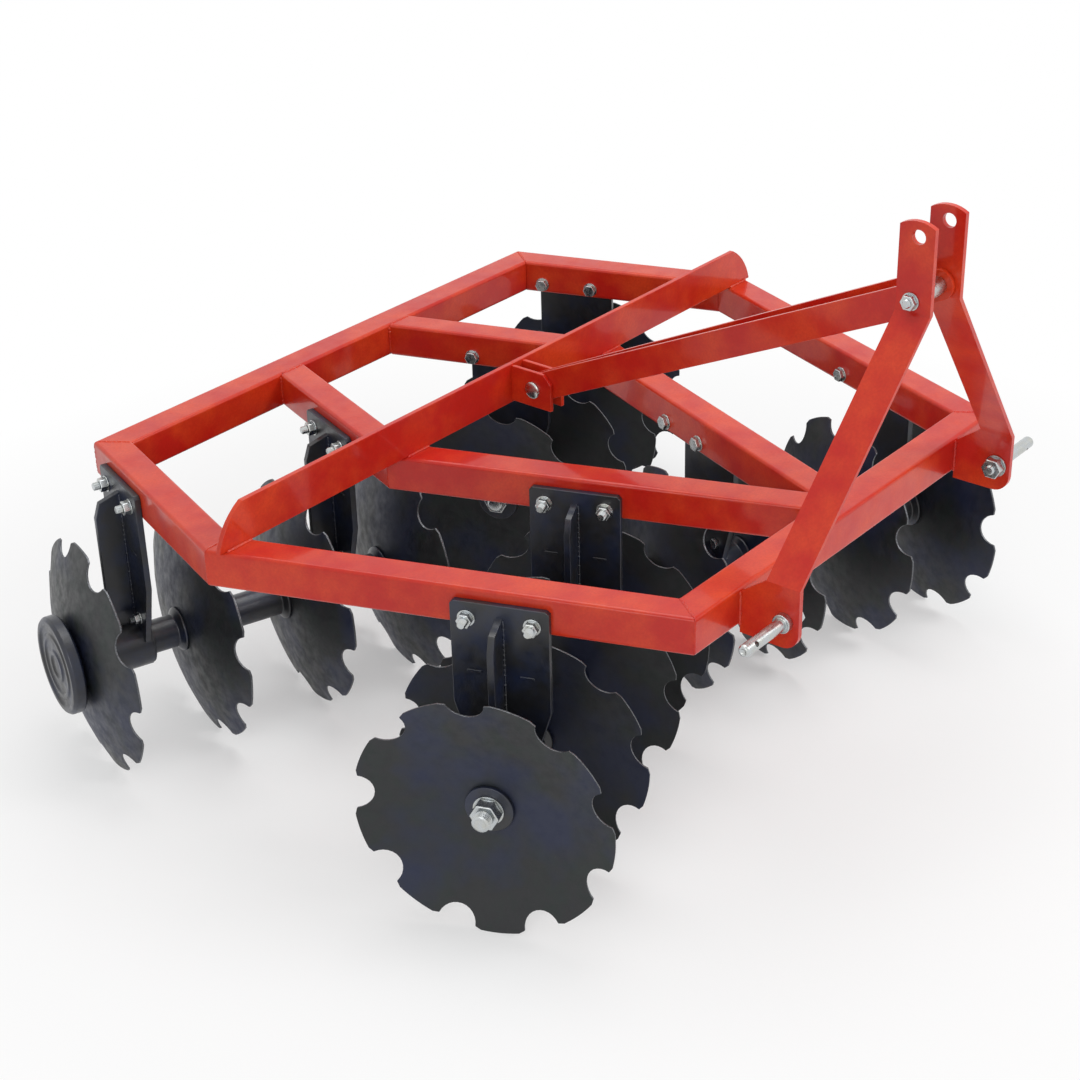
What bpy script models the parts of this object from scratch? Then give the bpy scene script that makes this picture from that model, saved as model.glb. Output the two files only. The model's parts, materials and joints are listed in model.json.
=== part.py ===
"""Mounted tandem disc harrow: welded hexagonal frame, A-mast and four gangs of notched discs.

Metres, +Z up. -Y is the hitch end, +Y the rear, left is -X. The origin lies on the ground
under the middle of the machine.
"""
import math

import bmesh
import bpy
from mathutils import Matrix, Vector

GAP = 0.0003                # air left between pieces that touch

# Frame, in plan: a hexagon, widest at the bend line
BEND_Y = 0.1681             # bend line of the side beams
FRONT_Y = BEND_Y - 0.798    # outer face of the front beam
REAR_Y = BEND_Y + 0.490     # outer face of the rear beam
FRONT_HALF = 0.4825         # half length of the front beam
REAR_HALF = 0.625           # half length of the rear beam
BEND_HALF = 0.795           # outer corner of an outer side beam at the bend
INNER_HALF = 0.341          # the same corner of an inner side beam
FRAME_TOP = 0.595
BEAM_H = 0.070
BEAM_W = 0.063
BEAM_CORNER = 0.007

# Transverse bar that stands on the frame over the bend line
BAR_FRONT_Y = BEND_Y - 0.035
BAR_T = 0.010
BAR_H = 0.080
BAR_HALF = 0.792
BAR_NOSE_IN = 0.062         # how far in from the tip the rounded end reaches the bar's top
BAR_NOSE_R = 0.130
LUG_OUT = 0.0205            # outer face of each lug, from the middle
LUG_T = 0.008
LUG_REACH = 0.096
LUG_DROP = 0.003            # how far each lug's top lies below the bar's
LUG_NOSE = 0.018            # corner cut off each lug
BRACE_PIN = (BEND_Y - 0.088, FRAME_TOP + 0.040)

# Hitch mast and lower link pins
MAST_IN = 0.043             # inner face of each mast plate at the top
MAST_T = 0.010
MAST_W = 0.064
MAST_Y = BEND_Y - 0.911     # middle of a plate's width at the top
MAST_TOP = 1.155
MAST_CHEEK_LOW = 1.052       # above this each plate is a clear cheek for the top link
MAST_CROWN = 0.009           # how much higher a plate's top is in the middle
MAST_BEND_TOP = 1.000
MAST_BEND_LOW = 0.625
MAST_FOOT = 0.512
MAST_FOOT_IN = 0.346
MAST_FOOT_Y = BEND_Y - 0.879
TOP_LINK = (BEND_Y - 0.914, 1.129)
TOP_LINK_R = 0.0125
MAST_BOLT = (BEND_Y - 0.907, 1.020)
BRACE_T = 0.008
BRACE_W = 0.054
BRACE_BENDS = (0.08, 0.90)  # where the braces start and stop closing in, of their length
LINK_PIN = (BEND_Y - 0.884, 0.562)
LINK_PIN_R = 0.011
LINK_PIN_TIP = 0.474
LINK_COLLAR_R = 0.017

# Disc gangs
DISC_R = 0.230
DISC_T = 0.004
DISC_DISH = 0.045
HUB_FLAT_R = 0.050
HUB_HOLE_R = 0.0202
NOTCHES = 9
NOTCH_R = 0.034
AXLE_Z = DISC_R
AXLE_R = 0.0197
SPOOL_R = 0.0325
FLANGE_R = 0.044
FLANGE_T = 0.012
END_NUT_T = 0.026            # nut on a front gang's outer end
END_BOLT_OUT = 0.046         # bolt end beyond the washer there
BEARING_R = 0.048
BEARING_LEN = 0.074
BEARING_BORE = 0.0335
BUMPER_R = 0.096
BUMPER_T = 0.034

# Hanger plate on the outer face of a side beam, sizes from the gang axis up
HANGER_T = 0.012
HANGER_HALF = 0.086
HANGER_TOP = 0.575 - AXLE_Z
HANGER_CORNER = 0.006
HANGER_SHOULDER = 0.150
HANGER_NECK_HALF = 0.046
RIB_T = 0.012
RIB_OUT = 0.062
RIB_TOP = 0.325

# along: from the frame's corner to the gang's axis, along the outer face of the side beam
# hub: of the outermost disc, outward from that face; pitch: from one disc to the next
# hollow: 1 where the discs are hollow outward, -1 inward
GANGS = {
    "front": {"along": 0.326, "hub": 0.087, "pitch": 0.213, "hollow": 1},
    "rear": {"along": 0.141, "hub": 0.141, "pitch": 0.218, "hollow": -1},
}
DISC_TURNS = {              # degrees that each disc's lowest tooth is turned forward
    ("front", "left"): (6.0, 0.0, -5.0, 4.0),
    ("front", "right"): (-3.0, 6.0, 0.0, -6.0),
    ("rear", "left"): (19.0, 0.0, 15.0, 0.0),
    ("rear", "right"): (-4.0, 0.0, 8.0, -7.0),
}

SIDES = {"left": -1, "right": 1}

FINISHES = {                # finish: colour, roughness, metallic
    "red_enamel": ((0.62, 0.035, 0.02), 0.35, 0.0),
    "black_paint": ((0.02, 0.022, 0.024), 0.45, 0.0),
    "disc_steel": ((0.025, 0.027, 0.03), 0.4, 0.3),
    "zinc_plate": ((0.62, 0.62, 0.6), 0.3, 0.9),
}


# ---------------------------------------------------------------- helpers

def clear_scene():
    for obj in list(bpy.data.objects):
        bpy.data.objects.remove(obj, do_unlink=True)


def material(name, finish):
    colour, roughness, metallic = FINISHES[finish]
    mat = bpy.data.materials.new(name)
    mat.use_nodes = True
    shader = mat.node_tree.nodes["Principled BSDF"]
    shader.inputs["Base Color"].default_value = (*colour, 1.0)
    shader.inputs["Roughness"].default_value = roughness
    shader.inputs["Metallic"].default_value = metallic
    return mat


def add_object(name, mesh, finish=None, location=(0, 0, 0), rotation=None):
    obj = bpy.data.objects.new(name, mesh)
    bpy.context.scene.collection.objects.link(obj)
    obj.location = location
    if rotation is not None:
        obj.rotation_euler = rotation.to_euler()
    if finish:
        mesh.materials.append(material(name, finish))
    return obj


def mesh_from(bm, name, smooth=False):
    bmesh.ops.remove_doubles(bm, verts=bm.verts, dist=1e-6)
    bmesh.ops.recalc_face_normals(bm, faces=bm.faces)
    mesh = bpy.data.meshes.new(name)
    bm.to_mesh(mesh)
    bm.free()
    if smooth:
        mesh.shade_smooth()
        mesh.set_sharp_from_angle(angle=math.radians(35))
    return mesh


def extrude_outline(outline, depth):
    """A closed bmesh from an outline of 3-D points, extruded by the vector depth."""
    bm = bmesh.new()
    face = bm.faces.new([bm.verts.new(p) for p in outline])
    grown = bmesh.ops.extrude_face_region(bm, geom=[face])
    moved = [v for v in grown["geom"] if isinstance(v, bmesh.types.BMVert)]
    bmesh.ops.translate(bm, verts=moved, vec=Vector(depth))
    bmesh.ops.recalc_face_normals(bm, faces=bm.faces)
    return bm


def lathe(profile, segments):
    """A body turned about the local X axis from (x, radius) pairs; both ends reach the axis."""
    bm = bmesh.new()
    verts = [bm.verts.new((x, 0, r)) for x, r in profile]
    edges = [bm.edges.new(pair) for pair in zip(verts, verts[1:])]
    bmesh.ops.spin(bm, geom=verts + edges, axis=(1, 0, 0), cent=(0, 0, 0),
                   angle=math.tau, steps=segments, use_merge=True)
    bmesh.ops.remove_doubles(bm, verts=bm.verts, dist=1e-6)
    bmesh.ops.recalc_face_normals(bm, faces=bm.faces)
    return bm


def cylinder(x0, x1, radius, segments=20):
    return lathe([(x0, 0), (x0, radius), (x1, radius), (x1, 0)], segments)


def combine(name, base, joined=(), cut=(), smooth=False):
    """One mesh from a base bmesh, others joined to it and others cut out of it."""
    target = add_object(name + "_base", mesh_from(base, name + "_base"))
    tools = []
    for index, (bm, operation) in enumerate([(b, "UNION") for b in joined]
                                            + [(b, "DIFFERENCE") for b in cut]):
        tool = add_object(f"{name}_tool_{index}", mesh_from(bm, f"{name}_tool_{index}"))
        tool.hide_render = True
        tool.display_type = "WIRE"
        modifier = target.modifiers.new(operation.title(), "BOOLEAN")
        modifier.operation = operation
        modifier.solver = "EXACT"
        modifier.object = tool
        tools.append(tool)
    bpy.context.view_layer.update()
    shape = target.evaluated_get(bpy.context.evaluated_depsgraph_get())
    mesh = bpy.data.meshes.new_from_object(shape)
    mesh.name = name
    for obj in tools + [target]:
        bpy.data.objects.remove(obj, do_unlink=True)
    if smooth:
        mesh.shade_smooth()
        mesh.set_sharp_from_angle(angle=math.radians(35))
    return mesh


# ---------------------------------------------------------------- frame

def plan(side, half, y):
    return Vector((side * half, y, 0))


def directions(side):
    """Unit vectors from the bend to the front corner and to the rear corner of one side."""
    bend = plan(side, BEND_HALF, BEND_Y)
    front = (plan(side, FRONT_HALF, FRONT_Y) - bend).normalized()
    rear = (plan(side, REAR_HALF, REAR_Y) - bend).normalized()
    return {"front": front, "rear": rear}


def outward(side, end):
    """The horizontal unit vector that the outer face of a side beam looks along."""
    along = directions(side)[end]
    normal = Vector((along.y, -along.x, 0))
    return normal if normal.x * side > 0 else -normal


def box_section():
    """Points of the beam's section: across (0 at the outer face, inward positive) and up."""
    r = BEAM_CORNER
    points = []
    for cx, cz, start in ((BEAM_W - r, -r, 0), (r, -r, 90), (r, r - BEAM_H, 180),
                          (BEAM_W - r, r - BEAM_H, 270)):
        for turn in (0, 22.5, 45, 67.5, 90):
            a = math.radians(start + turn)
            points.append((cx + r * math.cos(a), cz + r * math.sin(a)))
    return points


def beam(name, corner, along, inward, reach, trims):
    """A box beam whose outer top edge runs from corner; trims are planes (point, kept side)."""
    origin = corner - along * reach[0] + Vector((0, 0, FRAME_TOP))
    outline = [origin + inward * x + Vector((0, 0, z)) for x, z in box_section()]
    bm = extrude_outline(outline, along * (reach[0] + reach[1]))
    for point, keep in trims:
        bmesh.ops.bisect_plane(bm, geom=bm.verts[:] + bm.edges[:] + bm.faces[:],
                               plane_co=point + keep * GAP / 2, plane_no=-keep,
                               clear_outer=True)
        rim = [e for e in bm.edges if e.is_boundary]
        bmesh.ops.contextual_create(bm, geom=rim)
    return add_object(name, mesh_from(bm, name), "red_enamel")


def mitre(corner, mine, other):
    """The plane through a corner that halves it; keeps the side of the member along mine."""
    return corner, (mine - other).normalized()


def end_beams():
    for name, half, y, inward in (("front_beam", FRONT_HALF, FRONT_Y, Vector((0, 1, 0))),
                                  ("rear_beam", REAR_HALF, REAR_Y, Vector((0, -1, 0)))):
        end = name.split("_")[0]
        along = Vector((1, 0, 0))
        left, right = plan(-1, half, y), plan(1, half, y)
        trims = [mitre(left, along, -directions(-1)[end]),
                 mitre(right, -along, -directions(1)[end])]
        beam(name, left, along, inward, (0.05, 2 * half + 0.05), trims)


def side_beams():
    for side_name, side in SIDES.items():
        ways = directions(side)
        for end, other in (("front", "rear"), ("rear", "front")):
            y_end = FRONT_Y if end == "front" else REAR_Y
            half_end = FRONT_HALF if end == "front" else REAR_HALF
            length = (plan(side, half_end, y_end) - plan(side, BEND_HALF, BEND_Y)).length
            inward = -outward(side, end)
            toward_middle = Vector((-side, 0, 0))       # the inner front beams meet there
            butt_y = 1 if end == "front" else -1
            for place, half in (("outer", BEND_HALF), ("inner", INNER_HALF)):
                bend = plan(side, half, BEND_Y)
                trims = [mitre(bend, ways[end], ways[other])]
                if place == "outer":
                    trims.append(mitre(plan(side, half_end, y_end), -ways[end], toward_middle))
                else:
                    face = Vector((0, y_end + butt_y * BEAM_W, 0))
                    trims.append((face, Vector((0, butt_y, 0))))
                    trims.append((Vector(), -toward_middle))
                beam(f"{place}_beam_{end}_{side_name}", bend, ways[end], inward,
                     (0.05, length + 0.05), trims)


def bar_nose(height):
    """Points of a bar's rounded end from the tip up: how far in from the tip, and how high."""
    chord = Vector((BAR_NOSE_IN, height))
    back = math.sqrt(BAR_NOSE_R ** 2 - (chord.length / 2) ** 2)
    centre = chord / 2 + Vector((height, -BAR_NOSE_IN)) * back / chord.length
    start, stop = (math.degrees(math.atan2(p.y, p.x)) for p in (-centre, chord - centre))
    return arc(centre.x, centre.y, BAR_NOSE_R, start, stop, 7)


def transverse_bar():
    """Two flat bars on edge that meet in the middle, each with a forward lug for the braces."""
    low, high = FRAME_TOP + GAP, FRAME_TOP + BAR_H
    lug_front = BAR_FRONT_Y - LUG_REACH
    lug_low, lug_high = low + 0.004, high - LUG_DROP
    for name, side in SIDES.items():
        inner_end = LUG_T - LUG_OUT if side < 0 else LUG_T - LUG_OUT + GAP
        outline = [(side * (BAR_HALF - inset), BAR_FRONT_Y, low + height)
                   for inset, height in bar_nose(high - low)]
        outline += [(inner_end, BAR_FRONT_Y, high), (inner_end, BAR_FRONT_Y, low)]
        bar = extrude_outline(outline, (0, BAR_T, 0))
        lug_x = side * LUG_OUT
        lug_outline = [(lug_x, BAR_FRONT_Y + BAR_T / 2, lug_low), (lug_x, lug_front, lug_low),
                       (lug_x, lug_front, lug_high - LUG_NOSE),
                       (lug_x, lug_front + LUG_NOSE, lug_high),
                       (lug_x, BAR_FRONT_Y + BAR_T / 2, lug_high)]
        lug = extrude_outline(lug_outline, (-side * LUG_T, 0, 0))
        hole = cylinder(-0.05, 0.05, 0.0128, 20)
        bmesh.ops.translate(hole, verts=hole.verts, vec=(0, *BRACE_PIN))
        mesh = combine(f"cross_bar_{name}", bar, joined=[lug], cut=[hole])
        add_object(f"cross_bar_{name}", mesh, "red_enamel")


# ---------------------------------------------------------------- hitch

def arc(cy, cz, radius, start, stop, steps):
    """Points of an arc, across and up, in degrees from level towards upright."""
    turns = [math.radians(start + (stop - start) * i / steps) for i in range(steps + 1)]
    return [(cy + radius * math.cos(a), cz + radius * math.sin(a)) for a in turns]


def mast_plates():
    """Flat bars, upright at the top, splayed below the top bend and upright again at the foot."""
    half = MAST_W / 2
    crown_r = (half ** 2 + MAST_CROWN ** 2) / (2 * MAST_CROWN)
    spread = math.degrees(math.asin(half / crown_r))
    outline = [(MAST_Y - half, MAST_BEND_TOP), (MAST_FOOT_Y - half, MAST_BEND_LOW)]
    outline += arc(MAST_FOOT_Y, MAST_FOOT + half, half, 180, 270, 8)
    outline += [(FRONT_Y - GAP, MAST_FOOT), (FRONT_Y - GAP, FRAME_TOP - 0.006)]
    outline += [(MAST_FOOT_Y + half, MAST_BEND_LOW), (MAST_Y + half, MAST_BEND_TOP)]
    outline += arc(MAST_Y, MAST_TOP - crown_r, crown_r, 90 - spread, 90 + spread, 8)
    for name, side in SIDES.items():
        plate = extrude_outline([(side * MAST_IN, y, z) for y, z in outline],
                                (side * MAST_T, 0, 0))
        for z in (MAST_CHEEK_LOW, MAST_BEND_TOP, MAST_BEND_LOW):
            bmesh.ops.bisect_plane(plate, geom=plate.verts[:] + plate.edges[:] + plate.faces[:],
                                   plane_co=(0, 0, z), plane_no=(0, 0, 1))
        splay = (MAST_FOOT_IN - MAST_IN) / (MAST_BEND_TOP - MAST_BEND_LOW)
        for v in plate.verts:
            drop = MAST_BEND_TOP - max(v.co.z, MAST_BEND_LOW)
            v.co.x += side * splay * max(drop, 0)
        holes = []
        for (y, z), radius, reach in ((TOP_LINK, TOP_LINK_R, 0.08), (MAST_BOLT, 0.0088, 0.08),
                                      (LINK_PIN, LINK_PIN_R + 2 * GAP, 0.45)):
            hole = cylinder(-reach, reach, radius, 20)
            bmesh.ops.translate(hole, verts=hole.verts, vec=(0, y, z))
            holes.append(hole)
        mesh = combine(f"mast_plate_{name}", plate, cut=holes)
        add_object(f"mast_plate_{name}", mesh, "red_enamel")


def braces():
    """Two flat bars from the mast bolt down to the lugs on the transverse bar."""
    front, rear = Vector((0, *MAST_BOLT)), Vector((0, *BRACE_PIN))
    length = (rear - front).length
    slope = math.degrees(math.atan2(rear.z - front.z, rear.y - front.y))
    half = BRACE_W / 2
    outline = arc(0, 0, half, 90, 270, 8) + arc(length, 0, half, -90, 90, 8)
    for name, side in SIDES.items():
        front_x = side * (MAST_IN - GAP - BRACE_T)
        rear_x = side * (LUG_OUT - LUG_T - GAP - BRACE_T)
        bar = extrude_outline([(0, y, z) for y, z in outline], (side * BRACE_T, 0, 0))
        for share in BRACE_BENDS:
            bmesh.ops.bisect_plane(bar, geom=bar.verts[:] + bar.edges[:] + bar.faces[:],
                                   plane_co=(0, share * length, 0), plane_no=(0, 1, 0))
        bmesh.ops.rotate(bar, verts=bar.verts, cent=(0, 0, 0),
                         matrix=Matrix.Rotation(math.radians(slope), 3, "X"))
        bmesh.ops.translate(bar, verts=bar.verts, vec=front)
        for v in bar.verts:
            share = (v.co - front).dot(rear - front) / length ** 2
            share = (share - BRACE_BENDS[0]) / (BRACE_BENDS[1] - BRACE_BENDS[0])
            v.co.x += front_x + (rear_x - front_x) * min(max(share, 0), 1)
        holes = []
        for (y, z), radius in ((MAST_BOLT, 0.0088), (BRACE_PIN, 0.0128)):
            hole = cylinder(-0.08, 0.08, radius, 20)
            bmesh.ops.translate(hole, verts=hole.verts, vec=(0, y, z))
            holes.append(hole)
        mesh = combine(f"mast_brace_{name}", bar, cut=holes)
        add_object(f"mast_brace_{name}", mesh, "red_enamel")


def hitch_pins():
    """The mast bolt with its spacer, the brace pin and the two lower link pins."""
    inner = MAST_IN - GAP - BRACE_T - GAP
    outer = MAST_IN + MAST_T + GAP
    bolt = [(-outer - 0.014, 0), (-outer - 0.014, 0.015), (-outer, 0.015), (-outer, 0.0084),
            (-inner, 0.0084), (-inner, 0.016), (inner, 0.016), (inner, 0.0084),
            (outer, 0.0084), (outer, 0.015), (outer + 0.014, 0.015), (outer + 0.014, 0)]
    mesh = mesh_from(lathe(bolt, 18), "mast_bolt", smooth=True)
    add_object("mast_bolt", mesh, "zinc_plate", location=(0, *MAST_BOLT))

    inner = LUG_OUT - LUG_T - GAP - BRACE_T - GAP
    outer = LUG_OUT + GAP
    pin = [(-outer - 0.006, 0), (-outer - 0.006, 0.015), (-outer, 0.015), (-outer, 0.0124),
           (-inner, 0.0124), (inner, 0.0124), (outer, 0.0124), (outer, 0.015),
           (outer + 0.006, 0.015), (outer + 0.006, 0)]
    mesh = mesh_from(lathe(pin, 18), "brace_pin", smooth=True)
    add_object("brace_pin", mesh, "zinc_plate", location=(0, *BRACE_PIN))

    inner, outer = MAST_FOOT_IN - GAP, MAST_FOOT_IN + MAST_T + GAP
    link = [(inner - 0.026, 0), (inner - 0.026, 0.009), (inner - 0.020, 0.009),
            (inner - 0.020, 0.017), (inner, 0.017), (inner, LINK_PIN_R), (outer, LINK_PIN_R),
            (outer, LINK_COLLAR_R), (outer + 0.012, LINK_COLLAR_R),
            (outer + 0.012, LINK_PIN_R), (LINK_PIN_TIP - 0.003, LINK_PIN_R),
            (LINK_PIN_TIP, LINK_PIN_R - 0.003), (LINK_PIN_TIP, 0)]
    mesh = mesh_from(lathe(link, 18), "link_pin", smooth=True)
    for name, side in SIDES.items():
        turn = Matrix.Rotation(0 if side > 0 else math.pi, 3, "Z")
        add_object(f"lower_link_pin_{name}", mesh.copy(), "zinc_plate", (0, *LINK_PIN), turn)


# ---------------------------------------------------------------- gangs

def gang_axis(gang, side):
    """The point of a gang's axis under the beam's outer face, and its outward direction."""
    corner = plan(side, FRONT_HALF, FRONT_Y) if gang == "front" else plan(side, REAR_HALF, REAR_Y)
    point = corner - directions(side)[gang] * GANGS[gang]["along"]
    return point + Vector((0, 0, AXLE_Z)), outward(side, gang)


def turned(direction):
    return Matrix.Rotation(math.atan2(direction.y, direction.x), 3, "Z")


def notch_sector():
    """One tooth and the notch after it, as (angle, radius) pairs from the tooth's middle."""
    pitch = math.tau / NOTCHES
    half_notch = 2 * math.asin(NOTCH_R / 2 / DISC_R)
    half_tooth = pitch / 2 - half_notch
    sector = [(half_tooth * i / 2, DISC_R) for i in range(-2, 3)]
    for turn in (54, 90, 126):
        a = math.radians(turn)
        across, depth = NOTCH_R * math.cos(a), NOTCH_R * math.sin(a)
        sector.append((pitch / 2 - across / (DISC_R - depth), DISC_R - depth))
    return sector


def dish(radius):
    """How far a disc's middle lies behind the point at this radius."""
    ball = (DISC_R ** 2 + DISC_DISH ** 2) / (2 * DISC_DISH)
    flat = ball - math.sqrt(ball ** 2 - HUB_FLAT_R ** 2)
    return max(ball - math.sqrt(ball ** 2 - radius ** 2) - flat, 0)


def disc_mesh():
    """A notched, dished disc about the local X axis, hollow towards +X, tooth downwards."""
    outline = []
    for k in range(NOTCHES):
        outline += [(k * math.tau / NOTCHES + a, r) for a, r in notch_sector()]
    rings = [[(math.tau * i / 18, r) for i in range(18)] for r in (HUB_HOLE_R, HUB_FLAT_R, 0.14)]
    bm = bmesh.new()
    for ring in rings + [outline]:
        verts = [bm.verts.new((dish(r) - DISC_T / 2, r * math.sin(a), -r * math.cos(a)))
                 for a, r in ring]
        for v, following in zip(verts, verts[1:] + verts[:1]):
            bm.edges.new((v, following))
    bm.edges.ensure_lookup_table()
    loops, start = [], 0
    for ring in rings + [outline]:
        loops.append(bm.edges[start:start + len(ring)])
        start += len(ring)
    for inner, outer in zip(loops, loops[1:]):
        bmesh.ops.bridge_loops(bm, edges=inner + outer)
    bmesh.ops.recalc_face_normals(bm, faces=bm.faces)
    skin = bm.faces[:]
    grown = bmesh.ops.extrude_face_region(bm, geom=skin, use_keep_orig=True)
    moved = [v for v in grown["geom"] if isinstance(v, bmesh.types.BMVert)]
    bmesh.ops.translate(bm, verts=moved, vec=(DISC_T, 0, 0))
    return mesh_from(bm, "disc")


def hub_places(gang):
    sizes = GANGS[gang]
    return [sizes["hub"] - sizes["pitch"] * i for i in range(4)]


def shaft_profile(gang):
    """Axle, clamped spools and end fittings, from the inner end to the outer one."""
    hubs = hub_places(gang)[::-1]
    seat = DISC_T / 2 + GAP
    bare = 0.016
    inner_cap = 0.020 if gang == "front" else 0.008
    outer_cap = 0.008 if gang == "front" else 0.006
    cap_r = 0.060 if gang == "front" else FLANGE_R
    start = hubs[0] - seat
    profile = [(start - inner_cap - 0.022, 0), (start - inner_cap - 0.022, bare),
               (start - inner_cap - 0.014, bare), (start - inner_cap - 0.014, 0.025),
               (start - inner_cap, 0.025), (start - inner_cap, cap_r - 0.006),
               (start, cap_r - 0.006 if gang == "front" else cap_r), (start, AXLE_R)]
    for hub, following in zip(hubs, hubs[1:]):
        a, b = hub + seat, following - seat
        profile += [(a, AXLE_R), (a, FLANGE_R), (a + FLANGE_T, SPOOL_R),
                    (b - FLANGE_T, SPOOL_R), (b, FLANGE_R), (b, AXLE_R)]
    end = hubs[-1] + seat
    if gang == "front":
        profile += [(end, AXLE_R), (end, FLANGE_R), (end + outer_cap, FLANGE_R)]
        end += outer_cap
        profile += [(end, 0.026), (end + END_NUT_T, 0.026), (end + END_NUT_T, bare),
                    (end + END_BOLT_OUT, bare), (end + END_BOLT_OUT, 0)]
    else:
        profile += [(end, AXLE_R), (end + 0.020, AXLE_R), (end + 0.020, 0)]
    return profile


def bumper_mesh(gang):
    """The round cap on the outer end of a rear gang, open at the back for the axle."""
    back = hub_places(gang)[0] + DISC_T / 2 + 2 * GAP
    front = back + BUMPER_T
    profile = [(back + 0.0195 + 2 * GAP, 0), (back + 0.0195 + 2 * GAP, AXLE_R + GAP),
               (back, AXLE_R + GAP), (back, 0.050), (back + 0.006, BUMPER_R - 0.006),
               (back + 0.010, BUMPER_R), (front - 0.006, BUMPER_R), (front, BUMPER_R - 0.006),
               (front, 0)]
    return lathe(profile, 32)


def hanger_mesh(gang):
    """T-section hanger with its bearing housing, local X outward, Z up from the gang axis."""
    middle = GANGS[gang]["hub"] - GANGS[gang]["pitch"] / 2
    x = GAP
    edge = [(HANGER_NECK_HALF, 0.020), (HANGER_HALF, HANGER_SHOULDER),
            (HANGER_HALF, HANGER_TOP - HANGER_CORNER), (HANGER_HALF - HANGER_CORNER, HANGER_TOP)]
    outline = [(x, y, z) for y, z in edge] + [(x, -y, z) for y, z in reversed(edge)]
    plate = extrude_outline(outline, (HANGER_T, 0, 0))
    rib_outline = [(x + HANGER_T / 2, -RIB_T / 2, 0.030), (RIB_OUT - 0.012, -RIB_T / 2, 0.030),
                   (RIB_OUT, -RIB_T / 2, 0.060), (RIB_OUT, -RIB_T / 2, RIB_TOP - 0.045),
                   (RIB_OUT - 0.010, -RIB_T / 2, RIB_TOP - 0.015),
                   (x + HANGER_T / 2, -RIB_T / 2, RIB_TOP)]
    rib = extrude_outline(rib_outline, (0, RIB_T, 0))
    housing = cylinder(middle - BEARING_LEN / 2, middle + BEARING_LEN / 2, BEARING_R)
    bore = cylinder(middle - BEARING_LEN, middle + BEARING_LEN, BEARING_BORE)
    return combine(f"hanger_{gang}", plate, joined=[rib, housing], cut=[bore])


def gangs():
    disc = disc_mesh()
    for gang, sizes in GANGS.items():
        hanger = hanger_mesh(gang)
        shaft_mesh = mesh_from(lathe(shaft_profile(gang), 16), f"gang_shaft_{gang}", True)
        for name, side in SIDES.items():
            point, out = gang_axis(gang, side)
            turn = turned(out)
            inner_back = (BEND_HALF - INNER_HALF) * abs(out.x)
            for place, back in (("outer", 0), ("inner", inner_back)):
                add_object(f"hanger_{gang}_{name}_{place}", hanger.copy(), "black_paint",
                           point - out * back, turn)
            add_object(f"gang_shaft_{gang}_{name}", shaft_mesh.copy(), "black_paint", point, turn)
            face = turned(out * sizes["hollow"])
            for number, hub in enumerate(hub_places(gang), start=1):
                forward = side * sizes["hollow"] * DISC_TURNS[gang, name][number - 1]
                spin = Matrix.Rotation(-math.radians(forward), 3, "X")
                add_object(f"disc_{gang}_{name}_{number}", disc.copy(), "disc_steel",
                           point + out * hub, face @ spin)
            if gang == "rear":
                bumper = mesh_from(bumper_mesh(gang), f"end_bumper_{name}", smooth=True)
                add_object(f"end_bumper_{name}", bumper, "black_paint", point, turn)


def main():
    clear_scene()
    end_beams()
    side_beams()
    transverse_bar()
    mast_plates()
    braces()
    hitch_pins()
    gangs()


main()
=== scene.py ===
"""Disc harrow: the painted, bolted and welded surface of the machine, built round its frame.

Every place is read from the frame's own nodes and joints, in metres; -Y is the hitch end.
"""
import json
import math

import bmesh
import bpy
from bpy.props import FloatProperty, FloatVectorProperty, IntProperty, PointerProperty
from mathutils import Matrix, Vector


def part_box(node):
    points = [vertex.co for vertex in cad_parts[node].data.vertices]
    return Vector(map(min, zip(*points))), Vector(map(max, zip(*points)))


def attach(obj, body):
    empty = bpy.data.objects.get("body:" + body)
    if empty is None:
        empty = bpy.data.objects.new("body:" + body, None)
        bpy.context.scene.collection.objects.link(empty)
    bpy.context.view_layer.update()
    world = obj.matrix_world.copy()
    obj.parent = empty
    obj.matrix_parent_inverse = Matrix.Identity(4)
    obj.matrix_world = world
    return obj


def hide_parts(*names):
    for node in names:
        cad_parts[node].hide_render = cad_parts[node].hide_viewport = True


bl_info = {
    "name": "Disc harrow",
    "version": (1, 0, 0),
    "blender": (4, 5, 0),
    "location": "View3D > Sidebar > Harrow",
    "description": "Builds the finished surface of a mounted tandem disc harrow",
    "category": "Object",
}

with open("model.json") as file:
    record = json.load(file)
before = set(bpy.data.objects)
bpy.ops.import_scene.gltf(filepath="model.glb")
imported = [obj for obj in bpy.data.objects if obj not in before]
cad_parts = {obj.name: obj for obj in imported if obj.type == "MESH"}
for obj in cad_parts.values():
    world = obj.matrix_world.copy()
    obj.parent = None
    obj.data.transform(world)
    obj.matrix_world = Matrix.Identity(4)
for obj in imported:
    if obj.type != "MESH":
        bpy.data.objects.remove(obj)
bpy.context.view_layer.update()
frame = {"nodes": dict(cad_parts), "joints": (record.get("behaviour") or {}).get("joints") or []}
JOINTS = {joint["child"]: joint for joint in frame["joints"]}
SIDES = {"left": -1, "right": 1}
ENDS = ("front", "rear")
FRAME_BODY = "frame"

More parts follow.
